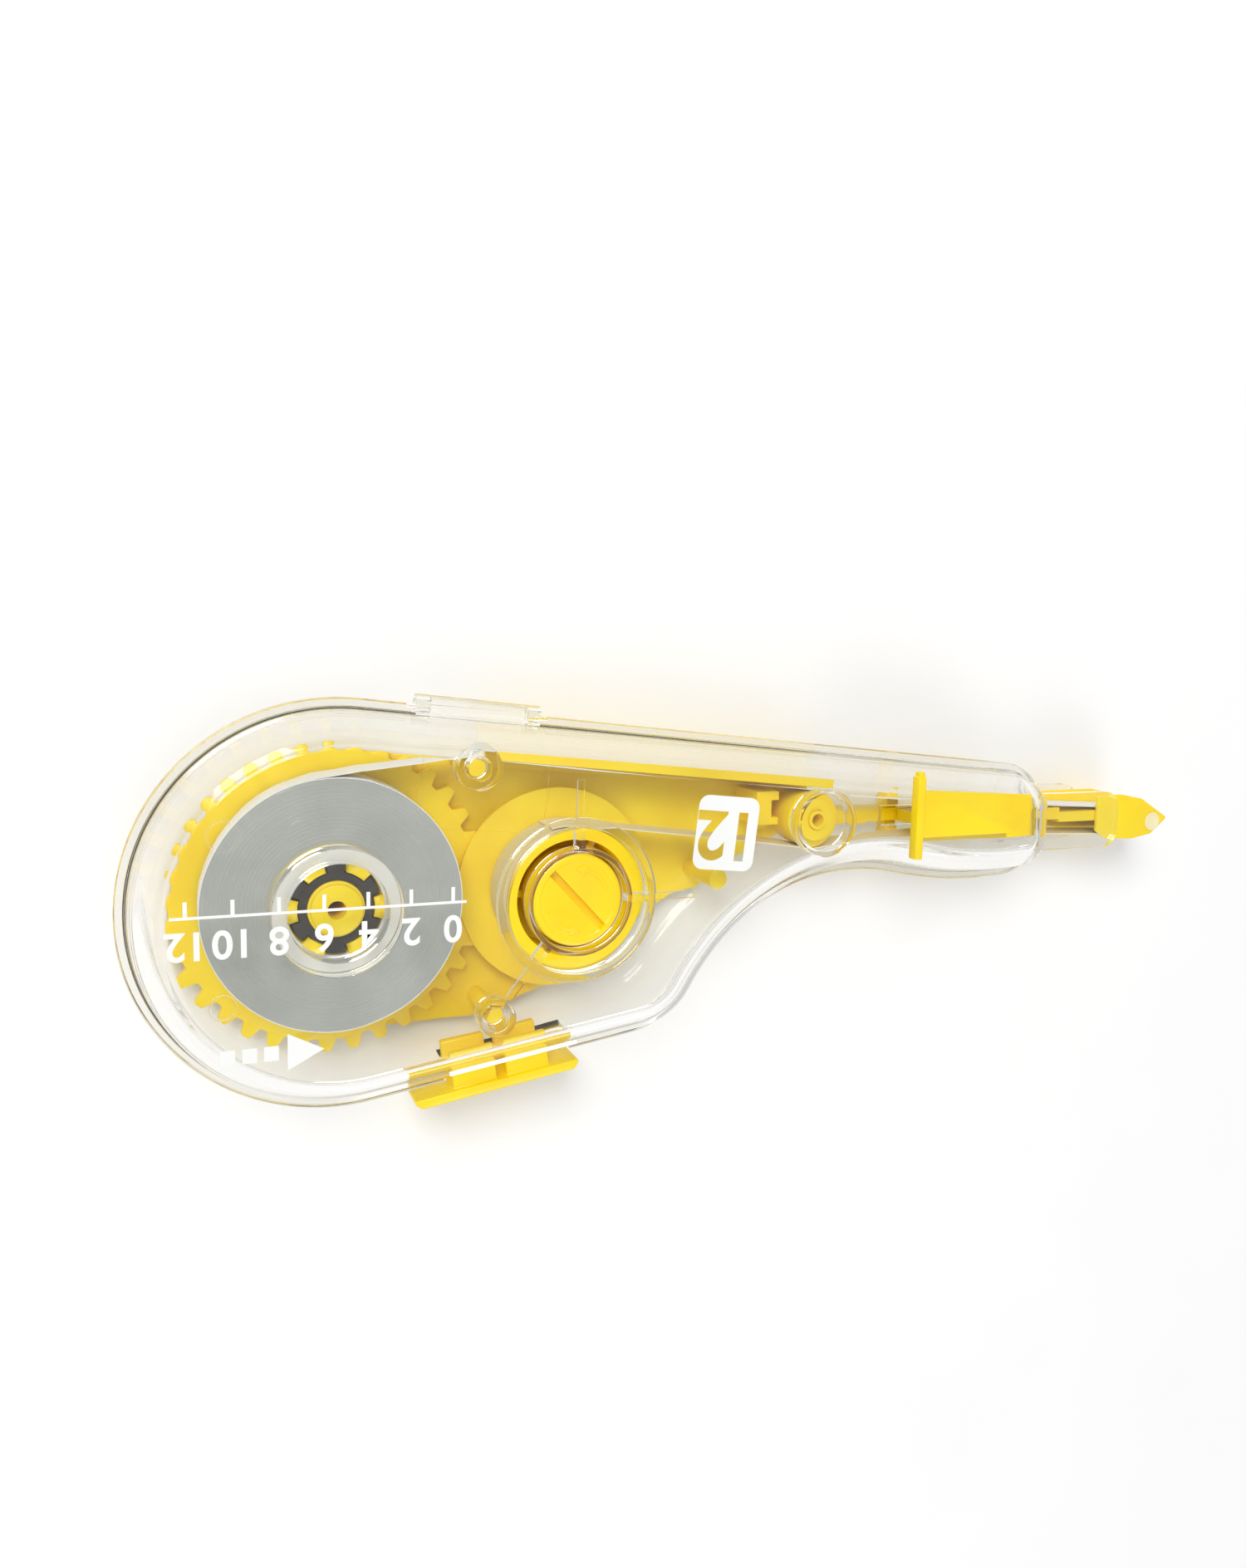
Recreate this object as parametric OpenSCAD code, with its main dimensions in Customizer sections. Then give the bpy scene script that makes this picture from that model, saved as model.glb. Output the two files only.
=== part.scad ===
// Correction tape roller: a clear case in two hinged halves round a geared tape cartridge,
// with a sliding head at the tip. All sizes are in millimetres.
// The origin is on the supply spool's axis, on the outside of the back half. +X runs to the
// tip, +Y across the case to the hinge, and +Z through the case to its front face.

/* [Case] */
// Thickness of the closed case
case_t = 14; // [13.8:0.1:14.4]
// Thickness of the flat faces
face_t = 1.1; // [1.0:0.05:1.15]
// Thickness of the rim where the two halves meet
rim_t = 0.9; // [0.8:0.05:1]
// Radius of the case's round end
round_r = 23.2; // [23.1:0.05:23.6]
// Angle in degrees between two points on the outline's arcs
arc_step = 7; // [5:1:12]

/* [Gears] */
// Teeth on the supply gear, twice those of the take-up gear
supply_teeth = 36; // [36:2:36]
// Size of the teeth: pitch diameter over number of teeth
gear_module = 1; // [1:0.01:1]
// Thickness of the gears
gear_t = 1.4; // [1.2:0.1:1.4]
// Play between meshed teeth, at the pitch circle
backlash = 0.17; // [0.12:0.01:0.25]

/* [Tape] */
// Width of the tape
tape_w = 5; // [4.2:0.1:5]
// Outer radius of the full roll
roll_r = 14.15; // [10:0.05:14.3]
// Radius of the roll's core
core_r = 7; // [6.6:0.1:7.2]
// Outer radius of the wound-up carrier film
used_r = 8.2; // [7.8:0.1:8.6]
// Thickness of a drawn strand of tape
film_t = 0.14; // [0.1:0.02:0.2]

/* [Head] */
// How far the head draws back into the nose
head_travel = 7.5; // [6:0.5:7.5]
// Reach of the tip beyond the supply axis
tip_x = 117.2; // [116:0.2:118]
// Radius of the roller at the tip
tip_roller_r = 1.7; // [1.5:0.1:1.8]

/* [Fits] */
// Radial clearance of the running fits
running_gap = 0.05; // [0.02:0.01:0.08]
// Radius of the two spool posts
post_r = 2; // [1.8:0.1:2.1]
// Radius of the hole through the supply post
post_hole_r = 1; // [0.8:0.1:1.2]

/* [Hidden] */
$fn = 64;
yellow = [1, 0.86, 0.05];
clear = [0.9, 0.92, 0.93, 0.35];
eps = 0.01;

mid_z = case_t / 2;
face_in = mid_z - face_t;
takeup_d = gear_module * supply_teeth * 3 / 4;
takeup_a = -0.6;
takeup_c = takeup_d * [cos(takeup_a), sin(takeup_a)];
guide_c = [59.3, 7.6];
guide_r = 3.5;
upper_peg = [15.3, 15.2];
lower_peg = [17.6, -13.4];
arm_peg = [46, 0.7];
peg_r = 1.05;

floor_z = face_t + 0.2;
plate_t = 0.8;
gear_z = floor_z + plate_t + 0.2;
gear_top = gear_z + gear_t;
tape_z = gear_top + 0.8;
tape_top = tape_z + tape_w;
hub_top = tape_top + 1.1;
rim_z = tape_top + 2.1;
knob_z = rim_z + 1.3;

// ---- Outline of the case ----
// Each arc is its centre, its radius, its first and last angle, 1 where it bulges out or -1
// where it hollows in, and 1 where it starts on the end of the one before or 0 after a straight.
// Neighbouring arcs share a tangent, so an inset keeps them smooth.
ARCS = [
    [[90.47, 7.84], 6, 0, 84.3, 1, 0],
    [[0.8, -0.5], round_r, 84.3, 278.5, 1, 0],
    [[34.5, -8.2], 10.6, 278.5, 330.9, 1, 0],
    [[67, -26.3], 26.6, 150.9, 76.8, -1, 1],
    [[86, 54.6], 56.5, 256.8, 275.1, 1, 1],
    [[90.47, 4.3], 6, 275.1, 360, 1, 1]
];

function unit(a) = [cos(a), sin(a)];
function arc_points(c, r, a0, a1, first) =
    let (n = max(2, ceil(abs(a1 - a0) / arc_step)))
    [for (i = [first:n]) c + r * unit(a0 + (a1 - a0) * i / n)];
function outline(inset) =
    [for (a = ARCS) each arc_points(a[0], a[1] - a[4] * inset, a[2], a[3], a[5])];

// A wall that follows the outline. Its section is a closed loop of points, each an inset and
// a distance from the joint face, going up the outside and down the inside.
module wall(section) {
    loops = [for (r = section) outline(r[0])];
    n = len(loops[0]);
    m = len(section);
    points = [for (k = [0:m - 1]) for (p = loops[k]) [p[0], p[1], section[k][1]]];
    faces = [for (k = [0:m - 1]) for (i = [0:n - 1])
        let (j = (i + 1) % n, up = (k + 1) % m) each [
            [k * n + i, up * n + i, up * n + j],
            [k * n + i, up * n + j, k * n + j]]];
    polyhedron(points, faces);
}

// One half of the case, standing up from the joint face at z = 0
face_inset = 4.6;
module half_shell() {
    wall([[0, 0], [0, rim_t], [1.2, rim_t + 0.1], [1.7, 2.6], [2.3, 4.2], [3.1, 5.7],
          [4.0, mid_z - 0.25], [face_inset, mid_z], [5.3, face_in + 0.5], [5.1, face_in],
          [3.75, face_in - 0.8], [3.05, 4], [2.7, 2.6], [2.2, rim_t], [2.2, 0]]);
    translate([0, 0, face_in]) linear_extrude(face_t) polygon(outline(face_inset));
}

// ---- Straight runs along the top and bottom edges, for the hinge and the lock ----
hinge_a = -5.7;
hinge_start = ARCS[1][0] + round_r * unit(84.3);
hinge_out = 0.05;
hinge_pin_r = 0.5;
knuckle_r = 1.1;
knuckle_end = 1.5;
hinge_s = [6.2, 20.7];
hinge_gap = 0.15;
lock_a = 8.5;
lock_start = ARCS[1][0] + round_r * unit(278.5);
lock_s = [4.5, 24.3];
lock_travel = 3;
lock_hook = 5.2;
lock_hooks = [9.2, 15.6];
notch_h = 3.2;

// Children laid out along the hinge line: x runs along it, y outwards, z from the joint face
module at_hinge() {
    translate([hinge_start[0], hinge_start[1], mid_z]) rotate([0, 0, hinge_a]) children();
}
// Children laid out along the lock's edge: x runs along it, y inwards, z from the joint face
module at_lock() {
    translate([lock_start[0], lock_start[1], mid_z]) rotate([0, 0, lock_a]) children();
}
module block(x, y, z) {
    translate([x[0], y[0], z[0]]) cube([x[1] - x[0], y[1] - y[0], z[1] - z[0]]);
}
module along_x(x, r) {
    translate([x[0], hinge_out, 0]) rotate([0, 90, 0]) cylinder(h = x[1] - x[0], r = r);
}
module tube(r_in, r_out, z0, z1) {
    translate([0, 0, z0]) difference() {
        cylinder(h = z1 - z0, r = r_out);
        translate([0, 0, -1]) cylinder(h = z1 - z0 + 2, r = r_in);
    }
}
module disc(r, z0, z1) {
    translate([0, 0, z0]) cylinder(h = z1 - z0, r = r);
}
module at(p) {
    translate([p[0], p[1], 0]) children();
}

// The way through both rims that the lock's hooks pass and slide in
module lock_notch() {
    at_lock() block([lock_hooks[0] - 0.4, lock_hooks[1] + lock_hook + lock_travel + 0.4],
                    [-1, 5.2], [-notch_h, notch_h]);
}

nose_x = [92.6, 107];
nose_y = [2.3, 10];
nose_in = 3.6;
nose_t = 1.1;
nose_round = 2;
// One cheek of the nose, at its height from the joint face
module cheek() {
    translate([0, 0, nose_in]) linear_extrude(nose_t) union() {
        translate([nose_x[0], nose_y[0]])
            square([nose_x[1] - nose_x[0] - nose_round, nose_y[1] - nose_y[0]]);
        translate([nose_x[0], nose_y[0] + nose_round])
            square([nose_x[1] - nose_x[0], nose_y[1] - nose_y[0] - 2 * nose_round]);
        for (y = [nose_y[0] + nose_round, nose_y[1] - nose_round])
            translate([nose_x[1] - nose_round, y]) circle(r = nose_round);
    }
}
// The mouth in the case's front edge that the head slides through
module mouth() {
    block([91, 98], [1.9, 10.4], [-nose_in, nose_in]);
}

module case_back() color(clear) {
    knuckle_x = [hinge_s[0] + knuckle_end + hinge_gap, hinge_s[1] - knuckle_end - hinge_gap];
    difference() {
        translate([0, 0, mid_z]) mirror([0, 0, 1]) half_shell();
        translate([0, 0, mid_z]) mouth();
        lock_notch();
        at_hinge() block([hinge_s[0] - 0.3, hinge_s[1] + 0.3], [-1.3, 2], [-2.4, 1]);
    }
    translate([0, 0, mid_z]) mirror([0, 0, 1]) cheek();
    at_hinge() {
        along_x(knuckle_x, knuckle_r);
        along_x(hinge_s, hinge_pin_r);
        block(knuckle_x, [-2, 0], [-1.1, 0]);
    }
    at(lower_peg) tube(peg_r, 1.9, face_t - eps, floor_z);
}

window_r = 8.5;
knob_ring = [5.7, 6.3];
rib_w = 0.9;
rib_z = rim_z + 0.4;
slot_y = [7.3, 9.4];
thumb_x = [74.4, 78.1];
// A radial rib under the front face, round the knob's window
module knob_rib(a, r0, r1, z0, z1) {
    at(takeup_c) rotate([0, 0, a]) block([r0, r1], [-rib_w / 2, rib_w / 2], [z0, z1]);
}
module case_front() color(clear) {
    face_z = case_t - face_t;
    difference() {
        union() {
            translate([0, 0, mid_z]) half_shell();
            tube(5.4, core_r, tape_top + 0.5, face_z + eps);
            at(takeup_c) tube(window_r, window_r + 1.1, rim_z + 0.2, face_z + eps);
            at(upper_peg) tube(peg_r + 0.3, 2.5, tape_top + 0.3, face_z + eps);
            at(lower_peg) tube(peg_r + 0.3, 2.1, tape_top + 0.3, face_z + eps);
            at(guide_c) tube(3.6, 4.15, 11, face_z + eps);
            knob_rib(90, window_r + 0.5, 14, face_z - 0.5, face_z + eps);
            knob_rib(0, window_r + 0.5, 14.5, face_z - 0.5, face_z + eps);
            knob_rib(-127, window_r + 0.5, 13.6, face_z - 0.5, face_z + eps);
        }
        at(takeup_c) disc(window_r, rim_z, case_t + 1);
        translate([0, 0, mid_z]) mouth();
        lock_notch();
        at_hinge() block([hinge_s[0] + knuckle_end, hinge_s[1] - knuckle_end],
                         [-1.3, 2], [-1, 2.4]);
        block([thumb_x[0] - head_travel - 0.3, thumb_x[1] + 0.3],
              [slot_y[0] - 0.2, slot_y[1] + 0.2], [face_z - 1, case_t + 1]);
        at_hinge() along_x([hinge_s[0] - 1, hinge_s[1] + 1], hinge_pin_r + running_gap);
    }
    translate([0, 0, mid_z]) cheek();
    at(takeup_c) tube(knob_ring[0], knob_ring[1], rib_z, case_t);
    for (a = [90, 0, -127]) knob_rib(a, knob_ring[0] + 0.2, window_r + 0.3, rib_z, case_t);
    at_hinge() difference() {
        for (s = [hinge_s[0], hinge_s[1] - knuckle_end]) union() {
            along_x([s, s + knuckle_end], knuckle_r);
            block([s, s + knuckle_end], [-2, 0], [0, 1.1]);
        }
        along_x([hinge_s[0] - 1, hinge_s[1] + 1], hinge_pin_r + running_gap);
    }
}

// The sliding clip that holds the two rims together
module case_lock() color(yellow) at_lock() {
    difference() {
        block(lock_s, [-1.5, -0.35], [-3.6, 3.6]);
        for (s = lock_s) translate([s, -1.5, -5]) rotate([0, 0, 45])
            translate([-0.5, -0.5, 0]) cube([1, 1, 10]);
    }
    for (s = lock_hooks) for (z = [-3, 1.8])
        block([s, s + lock_hook], [-0.45, 4.2], [z, z + 1.2]);
}

grip_x = [70.9, 72];
grip_y = [2.8, 13.3];
grip_top = case_t + 1.6;
slide_gap = 0.1;
module thumb_slide() color(yellow) {
    plate_z = case_t + slide_gap;
    translate([0, 0, plate_z]) linear_extrude(0.7)
        polygon([[grip_x[0], 5.4], [85.6, 5.5], [85.6, 4.9], [89.2, 5], [89.2, 10.5],
                 [grip_x[0], 11.6]]);
    block(grip_x, grip_y, [plate_z, grip_top]);
    block([grip_x[0] + 0.3, grip_x[1]], [grip_y[1] - eps, grip_y[1] + 0.6],
          [plate_z, grip_top - 0.3]);
    block(thumb_x, slot_y, [case_t - face_t - 0.2, plate_z + eps]);
    block([thumb_x[0] - 1, thumb_x[1] + 1], [slot_y[0] - 0.8, slot_y[1] + 0.8],
          [case_t - face_t - 0.8, case_t - face_t - 0.1]);
    for (x = [thumb_x[0] - 0.4, thumb_x[1] - 0.4])
        block([x, x + 0.8], [slot_y[0], slot_y[1]], [11.4, case_t - face_t - 0.8 + eps]);
}

// ---- Cartridge ----
arm_end = 64.6;
rail_x = [arm_end - 0.8, 92];
rail_y = [6.2, 7.8];
rail_top = 5.6;
guide_post_r = 1.2;
side_wall = [[17.5, 16.35], [62, 12.1]];
bracket_x = [52, 55.1];
bracket_y = [6.8, 11];
module arm_outline() {
    polygon([[0, 17], [12, 17.6], [63.2, 12.6], [arm_end, 11.6], [arm_end, 3.2], [60, 2.6],
             [52, -0.6], [43, -2.6], [38, -6], [33, -10.5], [27, -12.6], [17, -16], [0, -17]]);
    circle(r = 17);
}
module chassis() color(yellow) {
    difference() {
        union() {
            translate([0, 0, floor_z]) intersection() {
                linear_extrude(plate_t) arm_outline();
                linear_extrude(plate_t) polygon(outline(5.3));
            }
            disc(post_r, floor_z, hub_top + 0.1);
            at(takeup_c) disc(post_r, floor_z, tape_top - 1.5);
        }
        translate([0, 0, -1]) cylinder(h = case_t, r = post_hole_r);
    }
    at(guide_c) disc(guide_post_r, floor_z, tape_z + 2);
    at(guide_c) tube(0.8, guide_post_r, tape_z + 1.9, tape_top + 1.2);
    at(upper_peg) disc(peg_r, floor_z, tape_top + 1.5);
    at(lower_peg) disc(peg_r - 0.05, face_t, tape_top + 1.5);
    at(arm_peg) disc(1.2, floor_z, tape_top + 0.5);
    block(rail_x, rail_y, [floor_z, rail_top]);
    block([73.6, 75.3], [3.8, 11.7], [floor_z + plate_t - eps, 4.4]);
    // The wall along the hinge side stands on a ledge, clear of the case's rounded edge
    ledge_z = floor_z + plate_t;
    thin_wall(side_wall[0], side_wall[1], 0.8, ledge_z - eps, tape_top);
    thin_wall(side_wall[0] - [0, 2], side_wall[1] - [0, 2], 2.6, ledge_z - eps, ledge_z + 0.6);
    // The bracket behind the guide roller
    difference() {
        block(bracket_x, bracket_y, [ledge_z - eps, tape_top - 1.5]);
        block([54.1, 56], [bracket_y[0] + 0.9, bracket_y[1] - 1.1], [6, tape_top]);
    }
}
// A straight wall of thickness w between two points, on the left of the line from p to q
module thin_wall(p, q, w, z0, z1) {
    d = q - p;
    translate([p[0], p[1], z0]) rotate([0, 0, atan2(d[1], d[0])])
        cube([norm(d), w, z1 - z0]);
}
module axle_cap() color(yellow) {
    tube(post_hole_r, 2.8, hub_top + 0.1, hub_top + 0.6);
}

// A spur gear with straight-sided teeth, one of them centred on the +X axis
module gear(teeth, bore, z0, z1) {
    pitch_r = gear_module * teeth / 2;
    half = gear_module * PI / 4 - backlash / 2;
    rise = 0.55 * gear_module;
    fall = 0.95 * gear_module;
    slant = tan(20);
    function flank(r, w, side) = [r, side * w];
    tooth = [flank(pitch_r - fall, half + fall * slant, -1), flank(pitch_r, half, -1),
             flank(pitch_r + rise, half - rise * slant, -1),
             flank(pitch_r + rise, half - rise * slant, 1), flank(pitch_r, half, 1),
             flank(pitch_r - fall, half + fall * slant, 1)];
    points = [for (i = [0:teeth - 1]) for (p = tooth)
        let (a = 360 * i / teeth)
        [p[0] * cos(a) - p[1] * sin(a), p[0] * sin(a) + p[1] * cos(a)]];
    translate([0, 0, z0]) difference() {
        linear_extrude(z1 - z0) polygon(points);
        translate([0, 0, -1]) cylinder(h = z1 - z0 + 2, r = bore);
    }
}
boss_r = 3.1;
module supply_gear() color(yellow) {
    rotate([0, 0, takeup_a]) gear(supply_teeth, post_r + running_gap, gear_z, gear_top);
    tube(post_r + running_gap, boss_r, gear_top - eps, hub_top);
}
claws = 6;
claw_span = 30;
// Blocks in a ring, each spanning part of a turn
module ring_blocks(n, span, r0, r1, z0, z1) {
    for (i = [0:n - 1]) rotate([0, 0, 360 * i / n]) translate([0, 0, z0])
        linear_extrude(z1 - z0) polygon(concat(
            [for (k = [-2:2]) r1 * unit(span * k / 4)],
            [for (k = [2:-1:-2]) r0 * unit(span * k / 4)]));
}
module supply_hub() color(yellow) {
    tube(5.15, core_r - 0.05, gear_top + 0.1, tape_top + 0.2);
    ring_blocks(claws, claw_span, 4.15, 5.2, gear_top + 0.1, hub_top);
}
module clutch_ring() color([0.12, 0.12, 0.12]) {
    tube(boss_r + running_gap, 4, hub_top - 1.2, hub_top - 0.2);
    rotate([0, 0, 180 / claws])
        ring_blocks(claws, claw_span - 6, 3.9, 4.95, hub_top - 1.2, hub_top - 0.2);
}
module tape_roll() color([0.66, 0.68, 0.66]) {
    tube(core_r - 0.05, roll_r, tape_z, tape_top);
}
module takeup_gear() color(yellow) at(takeup_c) {
    rotate([0, 0, takeup_a + 180 + 360 / supply_teeth])
        gear(supply_teeth / 2, post_r + running_gap, gear_z, gear_top);
    tube(post_r + running_gap, 3.2, gear_top - eps, tape_top - 1.2);
}
spool_r = [6.9, 7.6];
flange_r = 12;
module takeup_spool() color(yellow) at(takeup_c) {
    tube(3.2, flange_r, gear_top, gear_top + 0.5);
    tube(spool_r[0], spool_r[1], gear_top + 0.4, rim_z);
    tube(spool_r[1] - 0.1, window_r - 0.2, rim_z - 0.6, rim_z);
    for (a = [60, 180, 300]) rotate([0, 0, a])
        block([3.2, spool_r[0] + 0.1], [-0.4, 0.4], [gear_top + 0.4, tape_top - 1.5]);
}
module used_film() color([0.93, 0.9, 0.8]) at(takeup_c) {
    tube(spool_r[1], used_r, tape_z, tape_top);
}
knob_r = 5.4;
groove_a = -47;
module wind_knob() color(yellow) at(takeup_c) {
    difference() {
        disc(knob_r, tape_top - 1.2, knob_z);
        rotate([0, 0, groove_a]) block([-4.9, 4.9], [-0.35, 0.35], [knob_z - 0.7, knob_z + 1]);
    }
}
module guide_roller() color(yellow) at(guide_c) {
    tube(guide_post_r + running_gap, 2.6, tape_z, tape_top + 0.9);
    tube(2.5, guide_r, tape_z + 0.1, tape_top - 0.1);
}

// ---- Strands of tape ----
// The direction of the common tangent's normal for two circles wrapped on the given sides
function tangent_normal(c0, r0, s0, c1, r1, s1) =
    let (d = c1 - c0) atan2(d[1], d[0]) + acos((s0 * r0 - s1 * r1) / norm(d));
// One wrap is a centre, a radius, two angles and 1 for clockwise or -1 for anticlockwise
function wrap_points(w, side) =
    let (n = max(1, ceil(abs(w[3] - w[2]) / 12)))
    [for (i = [0:n]) w[0] + (w[1] + side * w[4] * film_t / 2)
        * unit(w[2] + (w[3] - w[2]) * i / n)];
module strand(wraps) {
    left = [for (w = wraps) each wrap_points(w, 1)];
    right = [for (w = wraps) each wrap_points(w, -1)];
    n = len(right);
    translate([0, 0, tape_z + 0.05]) linear_extrude(tape_w - 0.1)
        polygon(concat(left, [for (i = [n - 1:-1:0]) right[i]]));
}
film_gap = film_t / 2 + 0.08;
wrap_roll = roll_r + film_gap;
wrap_peg = peg_r + film_gap;
wrap_guide = guide_r + film_gap;
wrap_used = used_r + film_gap;
module tape_strand() color([0.95, 0.95, 0.93]) {
    a = tangent_normal([0, 0], wrap_roll, 1, upper_peg, wrap_peg, 1);
    b = tangent_normal(upper_peg, wrap_peg, 1, guide_c, wrap_guide, 1);
    strand([[[0, 0], wrap_roll, a + 26, a, 1], [upper_peg, wrap_peg, a, b, 1],
            [guide_c, wrap_guide, b, b - 12, 1]]);
}
module film_strand() color([0.93, 0.9, 0.8]) {
    a = tangent_normal(guide_c, wrap_guide, 1, takeup_c, wrap_used, -1);
    strand([[guide_c, wrap_guide, a + 12, a, 1], [takeup_c, wrap_used, a + 180, a + 206, -1]]);
}

// ---- Head ----
spine_z = [5.9, 9.7];
spine_end = 106.5;
neck_y = [5.8, 7.2];
plate_front = [9.7, 10.3];
plate_back = [3.7, 4.3];
peg_x = [75.7, 76.8];
tip_c = [tip_x - 2.6, 5.3];
tip_pin_r = 0.9;
module head_frame() color(yellow) {
    block([74.5, 98], rail_y, spine_z);
    block([98 - eps, spine_end], neck_y, spine_z);
    block([104.2, spine_end], neck_y, [plate_back[1], spine_z[0] + eps]);
    block([74.5, 94], [4.2, 9.8], [spine_z[1] - eps, spine_z[1] + 0.9]);
    block(peg_x, [7.6, 9.1], [spine_z[1] + 0.8, 12]);
}
module head_plate(x0, z) {
    top = [[x0, 9.2], [109, 9.3], [112.6, 8.6]];
    tip = [[tip_x, 5.9], [tip_x, 5.6]];
    bottom = [[114.6, 3.5], [111, 2.9], [106, 3.2], [x0, 4.4]];
    translate([0, 0, z[0]]) difference() {
        linear_extrude(z[1] - z[0]) polygon(concat(top, tip, bottom));
        at(tip_c) translate([0, 0, -1]) cylinder(h = 3, r = tip_pin_r);
    }
}
module head_plate_front() color(yellow) head_plate(104.2, plate_front);
module head_plate_back() color(yellow) head_plate(99.6, plate_back);
module tip_pin() color(yellow) at(tip_c) disc(tip_pin_r, plate_back[0], plate_front[1]);
module tip_roller() color([0.95, 0.93, 0.85]) at(tip_c)
    tube(tip_pin_r + running_gap, tip_roller_r, tape_z, tape_top);
module tip_tape() color([0.95, 0.95, 0.93]) {
    wrap_tip = tip_roller_r + film_gap;
    out = [77, 9.1];
    back = [77, 4.9];
    a = tangent_normal(out, 0.2, 1, tip_c, wrap_tip, 1);
    b = tangent_normal(tip_c, wrap_tip, 1, back, 0.2, 1);
    strand([[out, 0.2, a, a - 1, 1], [tip_c, wrap_tip, a, b, 1], [back, 0.2, b, b - 1, 1]]);
}

case_back();
case_front();
case_lock();
thumb_slide();
chassis();
axle_cap();
supply_gear();
supply_hub();
clutch_ring();
tape_roll();
takeup_gear();
takeup_spool();
used_film();
wind_knob();
guide_roller();
tape_strand();
film_strand();
head_frame();
head_plate_front();
head_plate_back();
tip_pin();
tip_roller();
tip_tape();
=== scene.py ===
"""Correction tape roller: a clear hinged case round a geared tape cartridge, with a sliding head."""
import logging
import math
from dataclasses import dataclass, field
from enum import Enum

import bmesh
import bpy
import numpy as np
from mathutils import Matrix, Vector


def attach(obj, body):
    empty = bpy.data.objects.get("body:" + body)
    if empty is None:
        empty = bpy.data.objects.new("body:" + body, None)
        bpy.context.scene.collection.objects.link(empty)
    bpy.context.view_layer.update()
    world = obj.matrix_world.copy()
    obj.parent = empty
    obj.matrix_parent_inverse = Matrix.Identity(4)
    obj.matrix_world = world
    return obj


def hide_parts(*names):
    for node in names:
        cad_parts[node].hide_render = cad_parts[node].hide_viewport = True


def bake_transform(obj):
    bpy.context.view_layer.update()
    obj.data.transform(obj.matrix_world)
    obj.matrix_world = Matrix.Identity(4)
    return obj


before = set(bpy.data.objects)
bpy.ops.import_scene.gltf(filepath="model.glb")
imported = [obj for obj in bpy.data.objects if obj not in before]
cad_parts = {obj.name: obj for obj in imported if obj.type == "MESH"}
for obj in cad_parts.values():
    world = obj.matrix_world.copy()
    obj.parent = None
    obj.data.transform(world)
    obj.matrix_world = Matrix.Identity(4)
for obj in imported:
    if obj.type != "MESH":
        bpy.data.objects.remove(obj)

LOG = logging.getLogger("tape_roller")
MM = 0.001
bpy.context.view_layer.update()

# Places that several sub-assemblies share, in millimetres.
TAKEUP_AXIS = (26.9985, -0.2827)
GUIDE_AXIS = (59.3, 7.6)
TIP_AXIS = (114.6, 5.3)
UPPER_PEG = (15.3, 15.2)
LOWER_PEG = (17.6, -13.4)
ROLL_R = 14.15
USED_R = 8.2
TIP_R = 1.7
TAPE_Z = (4.5, 9.5)

WELD = 1e-6  # metres within which points of a mesh are one
NEARLY_FLAT = 0.6  # degrees that neighbouring faces may turn and still be joined


class Solver(Enum):
    """How a helper solid acts on the piece that it is combined with."""

    CUT = "DIFFERENCE"
    JOIN = "UNION"


# ---------------------------------------------------------------- meshes


def unit(degrees: np.ndarray | float) -> np.ndarray:
    """Unit vectors (cos a, sin a) for angles in degrees, stacked along the last axis."""
    a = np.radians(degrees)
    return np.stack([np.cos(a), np.sin(a)], axis=-1)


def new_object(name: str, points: np.ndarray, faces: list) -> bpy.types.Object:
    """Puts points in millimetres and faces into a new mesh object at the origin.

    Args:
        name: The object's name.
        points: Array of shape (count, 3).
        faces: Lists of point indices.

    Returns:
        The new object, with its faces pointing outwards.
    """
    mesh = bpy.data.meshes.new(name)
    mesh.from_pydata((np.asarray(points) * MM).tolist(), [], faces)
    mesh.validate()
    piece = bpy.data.objects.new(name, mesh)
    bpy.context.scene.collection.objects.link(piece)
    bm = bmesh.new()
    bm.from_mesh(mesh)
    bmesh.ops.recalc_face_normals(bm, faces=bm.faces)
    bm.to_mesh(mesh)
    bm.free()
    return piece


def ring_surface(name: str, rings: np.ndarray, closed: bool = False) -> bpy.types.Object:
    """A surface through closed rings of points: point (k, i) joins (k, i + 1) and (k + 1, i).

    Args:
        name: The object's name.
        rings: Array of shape (rings, points in a ring, 3), in millimetres.
        closed: Whether the last ring joins the first; otherwise flat caps close the ends.

    Returns:
        The closed piece.
    """
    m, n, _ = rings.shape
    k = np.arange(m if closed else m - 1)[:, None]
    i = np.arange(n)[None, :]
    up, side = (k + 1) % m, (i + 1) % n
    quads = np.stack([k * n + i, k * n + side, up * n + side, up * n + i], axis=-1)
    faces = quads.reshape(-1, 4).tolist()
    if not closed:
        faces += [list(range(n))[::-1], list(range((m - 1) * n, m * n))]
    return new_object(name, rings.reshape(-1, 3), faces)


def lathe(name: str, section: np.ndarray, centre: tuple, steps: int = 128) -> bpy.types.Object:
    """A closed section turned about +Z: (r, z) at angle a goes to (r cos a, r sin a, z) + centre.

    Args:
        name: The object's name.
        section: Closed loop of (radius, height) points, in millimetres.
        centre: The axis's place in X and Y, in millimetres.
        steps: Points round the turn.

    Returns:
        The turned piece.
    """
    turn = unit(np.arange(steps) * 360.0 / steps)
    section = np.asarray(section, float)
    flat = section[:, None, :1] * turn[None, :, :] + np.asarray(centre[:2])
    height = np.broadcast_to(section[:, None, 1:], flat.shape[:2] + (1,))
    return ring_surface(name, np.concatenate([flat, height], axis=-1), closed=True)


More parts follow.
